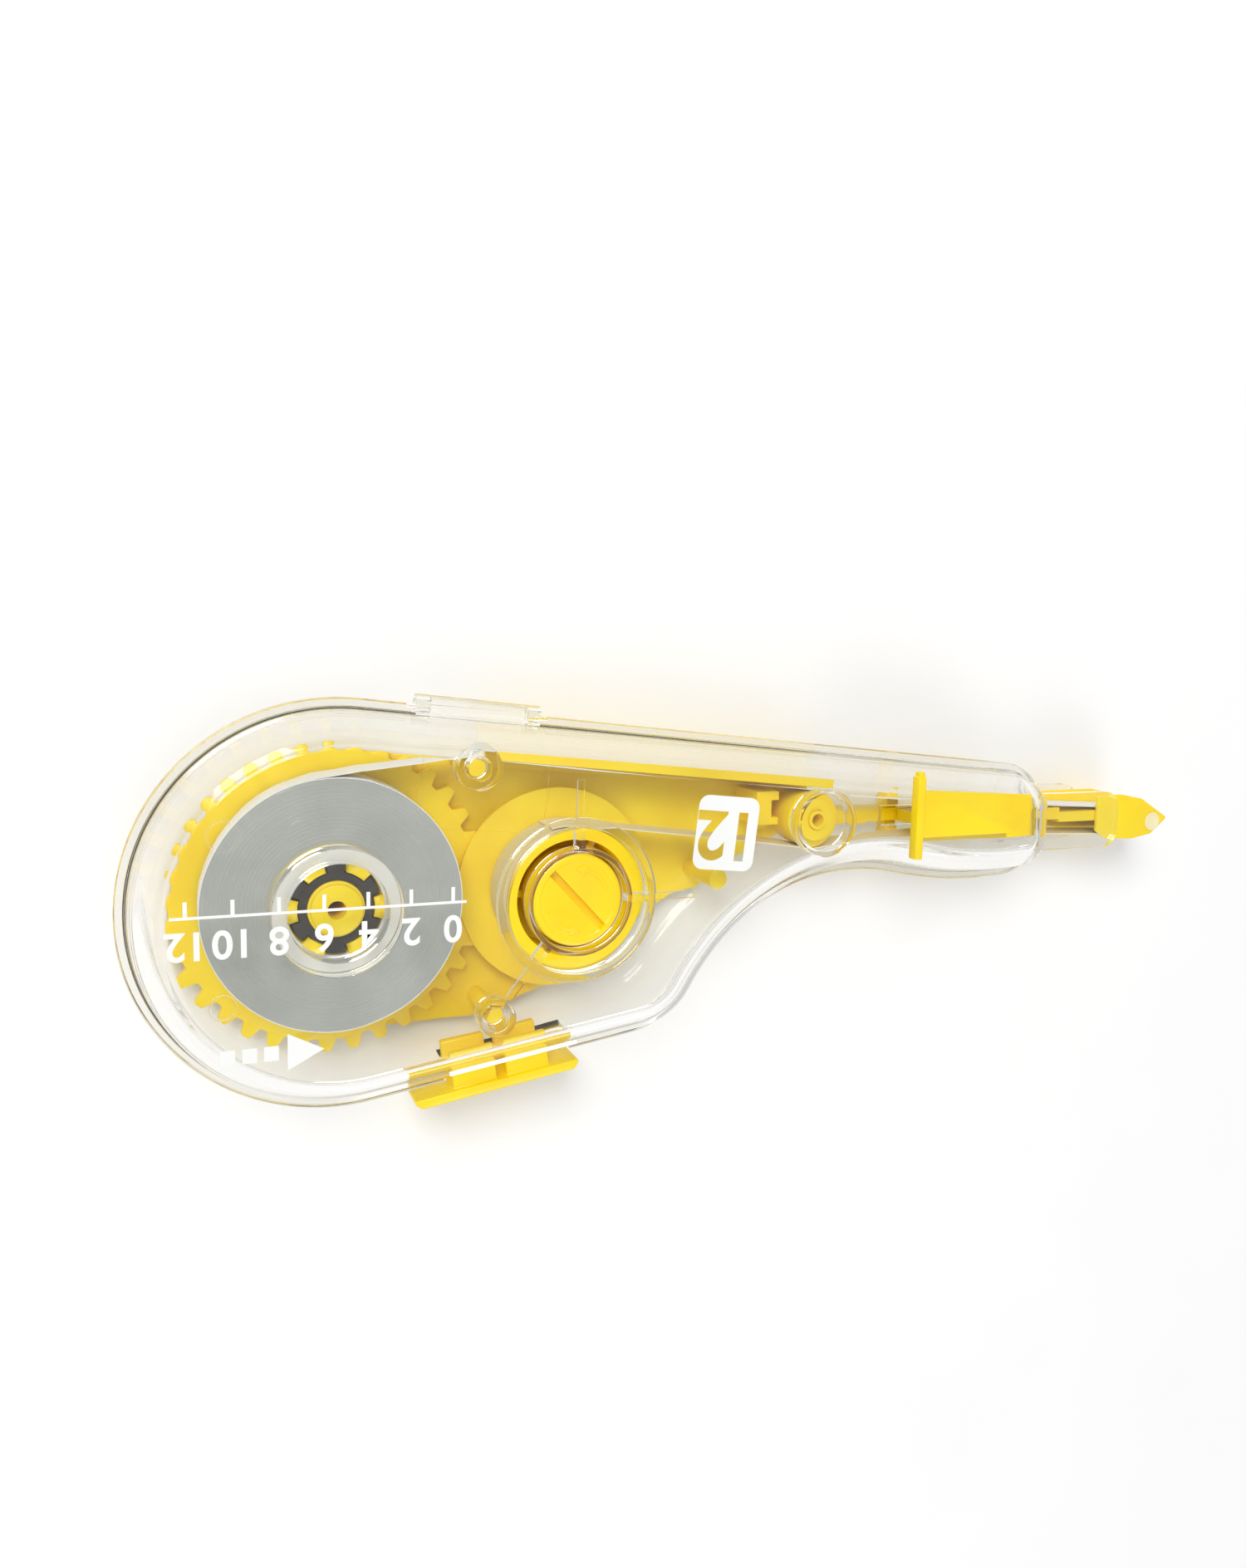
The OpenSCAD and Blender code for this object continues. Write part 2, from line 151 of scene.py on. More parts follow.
def tube_section(r_in: float, r_out: float, z0: float, z1: float, soft: float = 0.1) -> np.ndarray:
    """A rectangle of (radius, height) with its four corners cut by a quarter turn of radius soft.

    Args:
        r_in: Inner radius.
        r_out: Outer radius.
        z0: Lower height.
        z1: Upper height.
        soft: Radius of the rounded corners.

    Returns:
        The closed loop of points.
    """
    corners = [(r_in, z0, 180), (r_out, z0, 270), (r_out, z1, 0), (r_in, z1, 90)]
    loop = []
    for r, z, start in corners:
        middle = np.array([r + soft * (1 if r == r_in else -1), z + soft * (1 if z == z0 else -1)])
        loop.append(middle + soft * unit(start + np.array([0.0, 30.0, 60.0, 90.0])))
    return np.concatenate(loop)


def tube(name: str, centre: tuple, r: tuple, z: tuple, soft: float = 0.1) -> bpy.types.Object:
    """A tube with rounded edges, by lathe(), from its two radii and its two heights."""
    return lathe(name, tube_section(r[0], r[1], z[0], z[1], soft), centre)


def disc(name: str, centre: tuple, r: float, z: tuple, steps: int = 128) -> bpy.types.Object:
    """A plain closed cylinder: two rings of radius r at the heights z."""
    flat = unit(np.arange(steps) * 360.0 / steps) * r + np.asarray(centre[:2])
    return prism(name, flat, z)


def prism(name: str, outline: np.ndarray, z: tuple) -> bpy.types.Object:
    """A flat outline carried straight up from z[0] to z[1], in millimetres."""
    rings = [np.column_stack([outline, np.full(len(outline), h)]) for h in z]
    return ring_surface(name, np.stack(rings))


def slab(name: str, x: tuple, y: tuple, z: tuple, place: np.ndarray | None = None) -> bpy.types.Object:
    """A block between two corners, in millimetres, in the frame that place gives.

    Args:
        name: The object's name.
        x: Its two ends along X.
        y: Its two ends along Y.
        z: Its two ends along Z.
        place: A 2 by 3 array, the rotation and the start of a line that x runs along.

    Returns:
        The block.
    """
    corners = np.array([[x[0], y[0]], [x[1], y[0]], [x[1], y[1]], [x[0], y[1]]], float)
    if place is not None:
        corners = corners @ place[:, :2].T + place[:, 2]
    return prism(name, corners, z)


def rod(name: str, start: np.ndarray, end: np.ndarray, r: float, steps: int = 32) -> bpy.types.Object:
    """A round bar: circles of radius r square to the line from start to end."""
    axis = (end - start) / np.linalg.norm(end - start)
    side = np.cross(axis, [0.0, 0.0, 1.0])
    side /= np.linalg.norm(side)
    other = np.cross(axis, side)
    turn = unit(np.arange(steps) * 360.0 / steps) * r
    circle = turn[:, :1] * side + turn[:, 1:] * other
    return ring_surface(name, np.stack([circle + start, circle + end]))


def line_place(start: np.ndarray, degrees: float) -> np.ndarray:
    """The rotation by an angle and the start of a line, as the 2 by 3 array that slab() takes."""
    c, s = unit(degrees)
    return np.array([[c, -s, start[0]], [s, c, start[1]]])


def take(piece: bpy.types.Object) -> bpy.types.Object:
    """Bakes a piece's modifiers into its mesh and returns the piece."""
    graph = bpy.context.evaluated_depsgraph_get()
    old = piece.data
    piece.data = bpy.data.meshes.new_from_object(piece.evaluated_get(graph))
    piece.modifiers.clear()
    bpy.data.meshes.remove(old)
    return piece


def combine(piece: bpy.types.Object, solver: Solver, helpers: list) -> bpy.types.Object:
    """Cuts or joins helper solids, one set at a time, and removes them.

    Args:
        piece: The solid that is changed.
        solver: Whether the helpers are cut away or joined on.
        helpers: The helper solids.

    Returns:
        The changed piece.
    """
    group = bpy.data.collections.new(piece.name + "_helpers")
    for helper in helpers:
        bpy.context.scene.collection.objects.unlink(helper)
        group.objects.link(helper)
    bpy.context.scene.collection.children.link(group)
    step = piece.modifiers.new("combine", "BOOLEAN")
    step.operation = solver.value
    step.solver = "EXACT"
    step.operand_type = "COLLECTION"
    step.collection = group
    bpy.context.view_layer.update()
    take(piece)
    for helper in helpers:
        bpy.data.objects.remove(helper)
    bpy.data.collections.remove(group)
    return piece


def smooth(piece: bpy.types.Object, degrees: float = 32.0) -> bpy.types.Object:
    """Shades a piece smooth, with the edges that turn by more than an angle kept crisp."""
    piece.data.polygons.foreach_set("use_smooth", np.ones(len(piece.data.polygons), bool))
    piece.data.set_sharp_from_angle(angle=math.radians(degrees))
    return piece


def soften(piece: bpy.types.Object, width: float, sharpest: float = 30.0) -> bpy.types.Object:
    """Rounds every edge that turns by more than an angle, by width in millimetres."""
    step = piece.modifiers.new("edges", "BEVEL")
    step.width = width * MM
    step.segments = 2
    step.limit_method = "ANGLE"
    step.angle_limit = math.radians(sharpest)
    step.use_clamp_overlap = True
    return smooth(take(piece))


def moulded(node: str, width: float) -> bpy.types.Object:
    """A softened copy of a CAD node: its triangles merged, flat ones joined, its edges rounded.

    Args:
        node: The CAD node's name.
        width: How far the rounding reaches from each edge, in millimetres.

    Returns:
        The new piece, which is named after the node.
    """
    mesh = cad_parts[node].data.copy()
    mesh.name = node + "_moulded"
    piece = bpy.data.objects.new(node + "_moulded", mesh)
    bpy.context.scene.collection.objects.link(piece)
    bm = bmesh.new()
    bm.from_mesh(mesh)
    bmesh.ops.remove_doubles(bm, verts=bm.verts, dist=WELD)
    bmesh.ops.dissolve_limit(bm, angle_limit=math.radians(NEARLY_FLAT), verts=bm.verts,
                             edges=bm.edges)
    bm.to_mesh(mesh)
    bm.free()
    mesh.materials.clear()
    return soften(piece, width)


# ---------------------------------------------------------------- finishes


def node_group(name: str, ins: list, outs: list) -> tuple:
    """An empty shader group with named sockets.

    Args:
        name: The group's name.
        ins: (name, socket type, default) for each input.
        outs: (name, socket type) for each output.

    Returns:
        The group, its input node and its output node.
    """
    group = bpy.data.node_groups.new(name, "ShaderNodeTree")
    for label, kind, value in ins:
        socket = group.interface.new_socket(label, in_out="INPUT", socket_type=kind)
        socket.default_value = value
    for label, kind in outs:
        group.interface.new_socket(label, in_out="OUTPUT", socket_type=kind)
    return group, group.nodes.new("NodeGroupInput"), group.nodes.new("NodeGroupOutput")


def add(tree: bpy.types.NodeTree, kind: str, links: dict | None = None, **values) -> bpy.types.Node:
    """A new node with its properties and inputs set.

    Args:
        tree: The node tree.
        kind: The node's type.
        links: Input name or number to the socket or the value that it takes.
        **values: Properties of the node.

    Returns:
        The node.
    """
    made = tree.nodes.new(kind)
    for key, value in values.items():
        setattr(made, key, value)
    for key, value in (links or {}).items():
        if isinstance(value, bpy.types.NodeSocket):
            tree.links.new(value, made.inputs[key])
        else:
            made.inputs[key].default_value = value
    return made


class Grain:
    """Moulded grain: colour drift, roughness drift and a fine bump, shared by every plastic."""

    def __init__(self) -> None:
        """Builds the group once."""
        self.group, inner, outer = node_group(
            "MouldGrain",
            [("Color", "NodeSocketColor", (1, 1, 1, 1)), ("Deep", "NodeSocketColor", (1, 1, 1, 1)),
             ("Scale", "NodeSocketFloat", 300.0), ("Roughness", "NodeSocketFloat", 0.35),
             ("Spread", "NodeSocketFloat", 0.1), ("Bump", "NodeSocketFloat", 0.05)],
            [("Color", "NodeSocketColor"), ("Roughness", "NodeSocketFloat"),
             ("Normal", "NodeSocketVector")])
        tree = self.group
        place = add(tree, "ShaderNodeTexCoord").outputs["Object"]
        cloud = add(tree, "ShaderNodeTexNoise",
                    {"Vector": place, "Scale": inner.outputs["Scale"], "Detail": 3.0})
        fine = add(tree, "ShaderNodeTexNoise", {"Vector": place, "Scale": 5200.0, "Detail": 2.0})
        line = add(tree, "ShaderNodeMapping", {"Vector": place, "Scale": (260.0, 9000.0, 260.0),
                                               "Rotation": (0.0, 0.0, 0.6)})
        scratch = add(tree, "ShaderNodeTexNoise",
                      {"Vector": line.outputs[0], "Scale": 1.0, "Detail": 1.0})
        marks = add(tree, "ShaderNodeMapRange", {"Value": scratch.outputs["Fac"], "From Min": 0.68,
                                                 "From Max": 0.78})
        soft = add(tree, "ShaderNodeMapRange",
                   {"Value": cloud.outputs["Fac"], "From Min": 0.35, "From Max": 0.7})
        tint = add(tree, "ShaderNodeMix", {0: soft.outputs[0], 6: inner.outputs["Color"],
                                           7: inner.outputs["Deep"]}, data_type="RGBA")
        drift = add(tree, "ShaderNodeMath", {0: cloud.outputs["Fac"], 1: inner.outputs["Spread"],
                                             2: inner.outputs["Roughness"]}, operation="MULTIPLY_ADD")
        rough = add(tree, "ShaderNodeMath", {0: marks.outputs[0], 1: 0.08, 2: drift.outputs[0]},
                    operation="MULTIPLY_ADD")
        height = add(tree, "ShaderNodeMath", {0: marks.outputs[0], 1: -0.5, 2: fine.outputs["Fac"]},
                     operation="MULTIPLY_ADD")
        bump = add(tree, "ShaderNodeBump", {"Strength": inner.outputs["Bump"],
                                            "Height": height.outputs[0], "Distance": 0.00005})
        tree.links.new(tint.outputs[2], outer.inputs["Color"])
        tree.links.new(rough.outputs[0], outer.inputs["Roughness"])
        tree.links.new(bump.outputs[0], outer.inputs["Normal"])


class Windings:
    """Wound film on its edge: fine rings that differ a little in shade, round a given axis."""

    def __init__(self) -> None:
        """Builds the group once."""
        self.group, inner, outer = node_group(
            "Windings",
            [("Color", "NodeSocketColor", (1, 1, 1, 1)), ("Deep", "NodeSocketColor", (1, 1, 1, 1)),
             ("Centre X", "NodeSocketFloat", 0.0), ("Centre Y", "NodeSocketFloat", 0.0),
             ("Pitch", "NodeSocketFloat", 6000.0)],
            [("Color", "NodeSocketColor"), ("Roughness", "NodeSocketFloat"),
             ("Normal", "NodeSocketVector")])
        tree = self.group
        place = add(tree, "ShaderNodeTexCoord").outputs["Object"]
        centre = add(tree, "ShaderNodeCombineXYZ", {0: inner.outputs["Centre X"],
                                                    1: inner.outputs["Centre Y"]})
        arm = add(tree, "ShaderNodeVectorMath", {0: place, 1: centre.outputs[0]},
                  operation="SUBTRACT")
        flat = add(tree, "ShaderNodeVectorMath", {0: arm.outputs[0], 1: (1.0, 1.0, 0.0)},
                   operation="MULTIPLY")
        radius = add(tree, "ShaderNodeVectorMath", {0: flat.outputs[0]}, operation="LENGTH")
        turns = add(tree, "ShaderNodeMath", {0: radius.outputs["Value"], 1: inner.outputs["Pitch"]},
                    operation="MULTIPLY")
        along = add(tree, "ShaderNodeCombineXYZ", {0: turns.outputs[0]})
        rings = add(tree, "ShaderNodeTexNoise", {"Vector": along.outputs[0], "Scale": 1.0,
                                                 "Detail": 2.0})
        cloud = add(tree, "ShaderNodeTexNoise", {"Vector": place, "Scale": 160.0, "Detail": 4.0})
        both = add(tree, "ShaderNodeMath", {0: rings.outputs["Fac"], 1: 0.6,
                                            2: cloud.outputs["Fac"]}, operation="MULTIPLY_ADD")
        level = add(tree, "ShaderNodeMapRange", {"Value": both.outputs[0], "From Min": 0.5,
                                                 "From Max": 1.1})
        tint = add(tree, "ShaderNodeMix", {0: level.outputs[0], 6: inner.outputs["Color"],
                                           7: inner.outputs["Deep"]}, data_type="RGBA")
        rough = add(tree, "ShaderNodeMapRange", {"Value": rings.outputs["Fac"], "To Min": 0.5,
                                                 "To Max": 0.75})
        bump = add(tree, "ShaderNodeBump", {"Strength": 0.25, "Height": rings.outputs["Fac"],
                                            "Distance": 0.00004})
        tree.links.new(tint.outputs[2], outer.inputs["Color"])
        tree.links.new(rough.outputs[0], outer.inputs["Roughness"])
        tree.links.new(bump.outputs[0], outer.inputs["Normal"])


def shader(name: str) -> tuple:
    """A new material with its Principled shader and its output node."""
    material = bpy.data.materials.new(name)
    material.use_nodes = True
    nodes = material.node_tree.nodes
    return material, nodes["Principled BSDF"], nodes["Material Output"]


def rgba(color: tuple) -> tuple:
    """A colour with full opacity."""
    return (*color, 1.0)


def coat(tree: bpy.types.NodeTree, group: bpy.types.NodeTree, principled: bpy.types.Node,
         sizes: dict) -> None:
    """Adds a shared group, sets its inputs and lets it drive the Principled shader.

    Args:
        tree: The material's node tree.
        group: The shared group, with Color, Roughness and Normal as its outputs.
        principled: The material's Principled shader.
        sizes: Input name to value, for the group.
    """
    made = add(tree, "ShaderNodeGroup", node_tree=group)
    for key, value in sizes.items():
        made.inputs[key].default_value = value
    for out, into in (("Color", "Base Color"), ("Roughness", "Roughness"), ("Normal", "Normal")):
        tree.links.new(made.outputs[out], principled.inputs[into])


@dataclass(frozen=True)
class Plastic:
    """An opaque moulded plastic, film or rubber with grain."""

    name: str
    color: tuple
    deep: tuple
    roughness: float = 0.3
    spread: float = 0.12
    bump: float = 0.06
    scale: float = 120.0
    subsurface: float = 0.0
    reach: tuple = (0.002, 0.0012, 0.0002)  # metres that red, green and blue travel inside

    def build(self, grain: Grain) -> bpy.types.Material:
        """Makes the material.

        Args:
            grain: The shared grain group.

        Returns:
            The material.
        """
        material, principled, _ = shader(self.name)
        sizes = {"Color": rgba(self.color), "Deep": rgba(self.deep), "Scale": self.scale,
                 "Roughness": self.roughness, "Spread": self.spread, "Bump": self.bump}
        coat(material.node_tree, grain.group, principled, sizes)
        principled.inputs["Subsurface Weight"].default_value = self.subsurface
        principled.inputs["Subsurface Radius"].default_value = self.reach
        principled.inputs["Subsurface Scale"].default_value = 1.0
        return material


@dataclass(frozen=True)
class WoundFilm:
    """The edge of wound tape."""

    name: str
    color: tuple
    deep: tuple
    centre: tuple
    pitch: float = 6000.0  # changes of shade in a metre of radius

    def build(self, windings: Windings) -> bpy.types.Material:
        """Makes the material.

        Args:
            windings: The shared group of rings.

        Returns:
            The material.
        """
        material, principled, _ = shader(self.name)
        sizes = {"Color": rgba(self.color), "Deep": rgba(self.deep), "Pitch": self.pitch,
                 "Centre X": self.centre[0] * MM, "Centre Y": self.centre[1] * MM}
        coat(material.node_tree, windings.group, principled, sizes)
        return material


@dataclass(frozen=True)
class ClearPlastic:
    """Clear polystyrene: it refracts, and lets light through to what is inside."""

    name: str
    color: tuple
    deep: tuple
    roughness: float = 0.02
    spread: float = 0.03
    bump: float = 0.02
    scale: float = 60.0
    ior: float = 1.45
    passing: tuple = (0.96, 0.96, 0.95)  # colour left in light that goes straight through
    turns_inside: float = 4.5  # bounces after which a ray counts as caught

    def build(self, grain: Grain) -> bpy.types.Material:
        """Makes the material, see-through to shadow and diffuse rays and to rays caught in it.

        Args:
            grain: The shared grain group.

        Returns:
            The material.
        """
        material, principled, output = shader(self.name)
        tree = material.node_tree
        sizes = {"Color": rgba(self.color), "Deep": rgba(self.deep), "Scale": self.scale,
                 "Roughness": self.roughness, "Spread": self.spread, "Bump": self.bump}
        coat(tree, grain.group, principled, sizes)
        principled.inputs["Transmission Weight"].default_value = 1.0
        principled.inputs["IOR"].default_value = self.ior
        path = add(tree, "ShaderNodeLightPath")
        through = add(tree, "ShaderNodeBsdfTransparent", {"Color": rgba(self.passing)})
        either = add(tree, "ShaderNodeMath", {0: path.outputs["Is Shadow Ray"],
                                              1: path.outputs["Is Diffuse Ray"]},
                     operation="MAXIMUM")
        trapped = add(tree, "ShaderNodeMath", {0: path.outputs["Ray Depth"],
                                               1: self.turns_inside}, operation="GREATER_THAN")
        passed = add(tree, "ShaderNodeMath", {0: either.outputs[0], 1: trapped.outputs[0]},
                     operation="MAXIMUM")
        mix = add(tree, "ShaderNodeMixShader", {0: passed.outputs[0], 1: principled.outputs[0],
                                                2: through.outputs[0]})
        tree.links.new(mix.outputs[0], output.inputs["Surface"])
        return material


def dress(piece: bpy.types.Object, material: bpy.types.Material, body: str, slot: str,
          *nodes: str) -> bpy.types.Object:
    """Gives a piece its material and its body, and hides the CAD nodes that it stands for."""
    piece.data.materials.clear()
    piece.data.materials.append(material)
    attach(piece, body)
    if nodes:
        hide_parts(*nodes)
    LOG.info("%s rides on %s", piece.name, body)
    return piece


# ---------------------------------------------------------------- case


@dataclass
class Outline:
    """The case's outline: arcs that share tangents, joined by straight runs.

    Each arc is its centre, its radius, its first and last angle, 1 where it bulges out or -1
    where it hollows in, and 1 where it starts at the end of the arc before it, so that its
    first point is left out.
    """

    arcs: tuple = (((90.47, 7.84), 6.0, 0.0, 84.3, 1, 0), ((0.8, -0.5), 23.2, 84.3, 278.5, 1, 0),
                   ((34.5, -8.2), 10.6, 278.5, 330.9, 1, 0),
                   ((67.0, -26.3), 26.6, 150.9, 76.8, -1, 1),
                   ((86.0, 54.6), 56.5, 256.8, 275.1, 1, 1), ((90.47, 4.3), 6.0, 275.1, 360.0, 1, 1))
    step: float = 2.5  # degrees between points

    def points(self, inset: float) -> np.ndarray:
        """The outline drawn in by inset: centre + (radius - side * inset) * (cos a, sin a).

        Args:
            inset: Distance inwards, in millimetres.

        Returns:
            Array of shape (count, 2).
        """
        runs = []
        for centre, r, a0, a1, side, first in self.arcs:
            count = max(3, math.ceil(abs(a1 - a0) / self.step))
            angles = np.linspace(a0, a1, count + 1)[first:]
            runs.append(np.asarray(centre) + (r - side * inset) * unit(angles))
        return np.concatenate(runs)

    def body_ends(self) -> list:
        """The two ends of the round body's arc: where the upper and the lower edge start."""
        centre, r, *ends = self.arcs[1][:4]
        return [np.asarray(centre) + r * unit(degrees) for degrees in ends]


@dataclass
class Case:
    """The two clear halves, the lock at the edge and the print on the front face."""

    clear: bpy.types.Material
    yellow: bpy.types.Material
    ink: bpy.types.Material
    outline: Outline = field(default_factory=Outline)
    half: float = 7.0  # height of the joint face, half the case's thickness
    face: float = 1.1  # thickness of the flat faces
    rim: float = 0.9  # height of the rim on each side of the joint face
    face_inset: float = 4.6  # the outline to the flat face
    shy: float = 0.01  # the outline is drawn in by this, to stay inside the CAD shape
    joint_gap: float = 0.03  # from each half to the joint face
    takeup: tuple = TAKEUP_AXIS
    window: float = 8.5  # radius of the hole over the knob
    # Tubes under the front face: name, axis, inner and outer radius, lower end.
    bosses: tuple = (("hub_tube", (0, 0), (5.4, 7.0), 10.0),
                     ("window_tube", TAKEUP_AXIS, (8.5, 9.6), 11.8),
                     ("upper_boss", UPPER_PEG, (1.35, 2.5), 9.8),
                     ("lower_boss", LOWER_PEG, (1.35, 2.1), 9.8),
                     ("guide_boss", GUIDE_AXIS, (3.6, 4.15), 11.0))
    foot: tuple = (LOWER_PEG, (1.05, 1.9), 1.3)  # tube on the back face: axis, radii, top
    knob_ring: tuple = (5.7, 6.3)
    knob_ring_low: float = 12.0
    # Ribs round the knob's window: angle and outer end of each, then what they share.
    ribs: tuple = ((90, 14.0), (0, 14.5), (-127, 13.6))
    rib_half: float = 0.4
    rib_low: float = 12.4
    rib_start: float = 9.0
    rib_inside: tuple = (5.9, 8.8)  # the stretch between the knob's ring and the window
    hinge_slope: float = -5.7
    hinge_run: tuple = (6.2, 20.7)  # along the upper edge
    knuckle: tuple = (1.5, 1.095)  # length of an end knuckle, radius of all three
    knuckle_gap: float = 0.15
    pin_r: float = 0.5
    # Room cut for the knuckles, and the webs that carry them: across the edge, then the
    # heights in the back half and in the front half.
    hinge_cut: tuple = ((-1.3, 2), (4.6, 8), (6, 9.4))
    web: tuple = ((-2, 0), (5.9, 6.98), (7.02, 8.1))
    lock_slope: float = 8.5
    lock_run: tuple = (9.2, 20.8)  # along the lower edge
    lock_travel: float = 3.0
    notch: tuple = ((-1, 5.2), 3.2, 0.4)  # run across the edge, half height, room at each end
    slot_x: tuple = (74.1, 78.4)  # round the thumb slide's neck at rest
    slot_y: tuple = (7.1, 9.6)
    travel: float = 7.5
    mouth: tuple = ((91, 98), (1.9, 10.4))
    nose: tuple = ((92.6, 107.0), (2.3, 10.0), 3.6, 4.7)  # cheeks: X, Y, height off the joint face
    nose_corner: float = 2.4
    # Faint lines moulded in the front face: rings as centre and radius, and a tab's outline.
    mould_rings: tuple = (((-3.4, 8.0), 2.5), ((-11.7, 9.0), 1.7), ((-12.0, -9.0), 1.4))
    mould_ring_width: float = 0.22
    mould_line: float = 0.1  # how far they stand out
    tab: tuple = ((6.2, 20.7), (-13.0, -4.9), 0.24)
    print_z: tuple = (14.0, 14.03)
    panel_at: tuple = (45.1, 7.0)
    panel_size: tuple = (4.0, 4.45, 1.3)  # half width, half height, corner radius

    def __post_init__(self) -> None:
        """Works out the two straight edges that carry the hinge and the lock."""
        upper, lower = self.outline.body_ends()
        self.hinge_line = line_place(upper, self.hinge_slope)
        self.lock_line = line_place(lower, self.lock_slope)

    def section(self) -> np.ndarray:
        """Points (inset, distance from the joint face): up the inside, over the rim, up the outside.

        The outside is a quadratic curve (1 - t)^2 P + 2 t (1 - t) Q + t^2 R from the rim to
        the face, and the inside is the same curve one wall in.

        Returns:
            Array of shape (count, 2).
        """
        t = np.linspace(0.0, 1.0, 12)[:, None]

        def curve(p: tuple, q: tuple, r: tuple) -> np.ndarray:
            """The quadratic curve through p and r that heads for q."""
            return (1 - t) ** 2 * np.array(p) + 2 * t * (1 - t) * np.array(q) + t**2 * np.array(r)

        inside = curve((2.3, self.rim), (3.0, 4.9), (5.0, self.half - self.face - 0.06))[::-1]
        lip = [(5.3, self.half - self.face)]
        gap = self.joint_gap
        seam = [(2.2, 0.4), (2.22, 0.1), (2.3, gap), (0.08, gap), (0.0, 0.11),
                (0.0, self.rim - 0.2), (0.15, self.rim - 0.02), (0.9, self.rim), (1.15, 1.1)]
        outside = curve((1.25, 1.3), (1.75, 5.9), (4.15, self.half - 0.16))
        edge = [(4.4, self.half - 0.04), (self.face_inset, self.half)]
        return np.concatenate([lip, inside, seam, outside, edge])

    def half_shell(self, name: str, side: int) -> bpy.types.Object:
        """One half: rings of the outline at each point of the section, capped by flat faces.

        Args:
            name: The piece's name.
            side: 1 for the front half, -1 for the back.

        Returns:
            The half, before its holes.
        """
        rings = []
        for inset, height in self.section():
            flat = self.outline.points(inset + self.shy)
            rings.append(np.column_stack([flat, np.full(len(flat), self.half + side * height)]))
        return ring_surface(name, np.stack(rings))

    def cheek(self, side: int) -> bpy.types.Object:
        """One cheek of the nose: a rounded tongue ahead of the mouth."""
        (x0, x1), (y0, y1), low, high = self.nose
        r = self.nose_corner
        corners = [((x1 - r, y0 + r), -90.0), ((x1 - r, y1 - r), 0.0)]
        arcs = [np.array(c) + r * unit(a + np.linspace(0, 90, 12)) for c, a in corners]
        flat = np.concatenate([[(x0, y0)], *arcs, [(x0, y1)]])
        heights = sorted((self.half + side * low, self.half + side * high))
        return prism("cheek", flat, tuple(heights))

    def openings(self) -> list:
        """Helper solids for the mouth of the nose and the lock's way through the rims."""
        inner = self.nose[2]
        across, tall, room = self.notch
        run = (self.lock_run[0] - room, self.lock_run[1] + self.lock_travel + room)
        return [slab("mouth", *self.mouth, (self.half - inner, self.half + inner)),
                slab("notch", run, across, (self.half - tall, self.half + tall), self.lock_line)]

    def on_hinge(self, s: float, out: float = 0.05) -> np.ndarray:
        """A point of the hinge's axis, s along it."""
        flat = self.hinge_line[:, :2] @ np.array([s, out]) + self.hinge_line[:, 2]
        return np.array([flat[0], flat[1], self.half])

    def back(self) -> bpy.types.Object:
        """The back half, with the long middle knuckle and its pin."""
        shell = self.half_shell("back_shell", -1)
        s0, s1 = self.hinge_run
        across, tall, _ = self.hinge_cut
        cut = slab("hinge_cut", (s0 - 0.3, s1 + 0.3), across, tall, self.hinge_line)
        combine(shell, Solver.CUT, [*self.openings(), cut])
        k = self.knuckle[0] + self.knuckle_gap
        foot_at, foot_r, foot_top = self.foot
        parts = [self.cheek(-1), rod("pin", self.on_hinge(s0), self.on_hinge(s1), self.pin_r),
                 rod("knuckle", self.on_hinge(s0 + k), self.on_hinge(s1 - k), self.knuckle[1]),
                 slab("web", (s0 + k, s1 - k), self.web[0], self.web[1], self.hinge_line),
                 tube("foot", foot_at, foot_r, (self.face - 0.1, foot_top), soft=0.04)]
        combine(shell, Solver.JOIN, parts)
        return smooth(shell)

    def rib(self, degrees: float, run: tuple, heights: tuple) -> bpy.types.Object:
        """A radial rib round the knob's window."""
        across = (-self.rib_half, self.rib_half)
        return slab("rib", run, across, heights, line_place(np.array(self.takeup), degrees))

    def front(self) -> bpy.types.Object:
        """The front half, with its window, its ribs, its bosses and the hinge's end knuckles."""
        shell = self.half_shell("front_shell", 1)
        s0, s1 = self.hinge_run
        k, r = self.knuckle
        top, under = 2 * self.half, 2 * self.half - self.face
        slot_x = (self.slot_x[0] - self.travel, self.slot_x[1])
        slot = slab("slot", slot_x, self.slot_y, (under - 1, top + 1))
        window = disc("window", self.takeup, self.window, (11, 15))
        across, _, tall = self.hinge_cut
        hinge = slab("hinge_cut", (s0 + k, s1 - k), across, tall, self.hinge_line)
        combine(shell, Solver.CUT, [*self.openings(), slot, window, hinge])
        bore = rod("bore", self.on_hinge(s0 - 1), self.on_hinge(s1 + 1), self.pin_r + 0.05)
        base = under + 0.05
        parts = [self.cheek(1)]
        parts += [tube(name, at, radii, (low, base)) for name, at, radii, low in self.bosses]
        low = self.knob_ring_low
        parts.append(tube("knob_ring", self.takeup, self.knob_ring, (low, top), soft=0.12))
        for degrees, reach in self.ribs:
            parts.append(self.rib(degrees, (self.rib_start, reach), (self.rib_low, base)))
            parts.append(self.rib(degrees, self.rib_inside, (low, top - 0.02)))
        line_z = (top - self.mould_line, top + self.mould_line)
        for centre, radius in self.mould_rings:
            radii = (radius - self.mould_ring_width, radius)
            parts.append(tube("mould_ring", centre, radii, line_z, soft=0.03))
        (x0, x1), (y0, y1), w = self.tab
        for x, y in (((x0, x0 + w), (y0, y1)), ((x1 - w, x1), (y0, y1)), ((x0, x1), (y0, y0 + w))):
            parts.append(slab("tab_line", x, y, line_z, self.hinge_line))
        for s in (s0, s1 - k):
            parts.append(rod("knuckle", self.on_hinge(s), self.on_hinge(s + k), r))
            parts.append(slab("web", (s, s + k), self.web[0], self.web[2], self.hinge_line))
        combine(shell, Solver.JOIN, parts)
        combine(shell, Solver.CUT, [bore])
        return smooth(shell)

